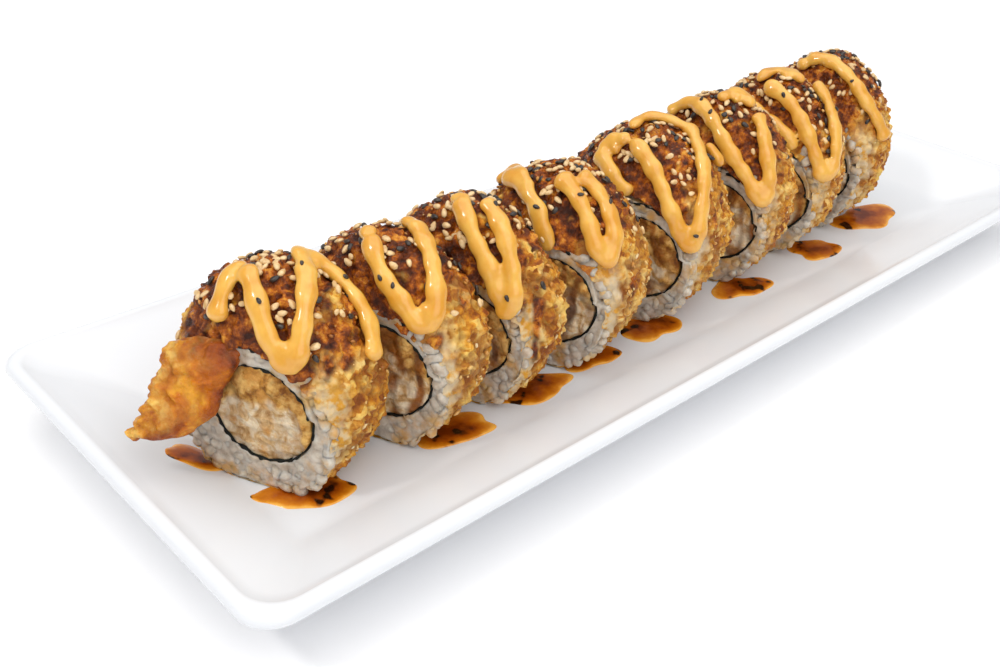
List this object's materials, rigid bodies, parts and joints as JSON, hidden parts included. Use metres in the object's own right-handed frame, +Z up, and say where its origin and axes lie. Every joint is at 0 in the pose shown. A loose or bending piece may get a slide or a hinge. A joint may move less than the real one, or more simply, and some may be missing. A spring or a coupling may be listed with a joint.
{
  "type": "fried sushi roll on a plate",
  "caption": "Sliced fried sushi roll with rice, nori and tempura shrimp, drizzle and sesame, standing in a row on a long rectangular plate.",
  "frame": {"origin": "middle of the plate's underside", "axes": "+X along the plate and the row, away from the slice with the tail; +Z up"},
  "size_m": [0.3598, 0.131, 0.0725],
  "materials": {
    "plate_glaze": "white glaze, glossy",
    "crust_and_rice": "golden-brown fried crumb over pale rice, with glossy sauce and drizzle",
    "nori": "black-green dried seaweed, moist",
    "tempura_shrimp": "pale battered shrimp, moist",
    "shrimp_tail": "orange-brown fried batter, oily"
  },
  "bodies": {
    "root": {"plate": "plate_glaze", "shrimp_tail": "shrimp_tail", "slice_1_rice": "crust_and_rice", "slice_1_nori": "nori", "slice_1_shrimp": "tempura_shrimp", "slice_2_rice": "crust_and_rice", "slice_2_nori": "nori", "slice_2_shrimp": "tempura_shrimp", "slice_3_rice": "crust_and_rice", "slice_3_nori": "nori", "slice_3_shrimp": "tempura_shrimp", "slice_4_rice": "crust_and_rice", "slice_4_nori": "nori", "slice_4_shrimp": "tempura_shrimp", "slice_5_rice": "crust_and_rice", "slice_5_nori": "nori", "slice_5_shrimp": "tempura_shrimp", "slice_6_rice": "crust_and_rice", "slice_6_nori": "nori", "slice_6_shrimp": "tempura_shrimp", "slice_7_rice": "crust_and_rice", "slice_7_nori": "nori", "slice_7_shrimp": "tempura_shrimp", "slice_8_rice": "crust_and_rice", "slice_8_nori": "nori", "slice_8_shrimp": "tempura_shrimp"}
  },
  "joints": []
}
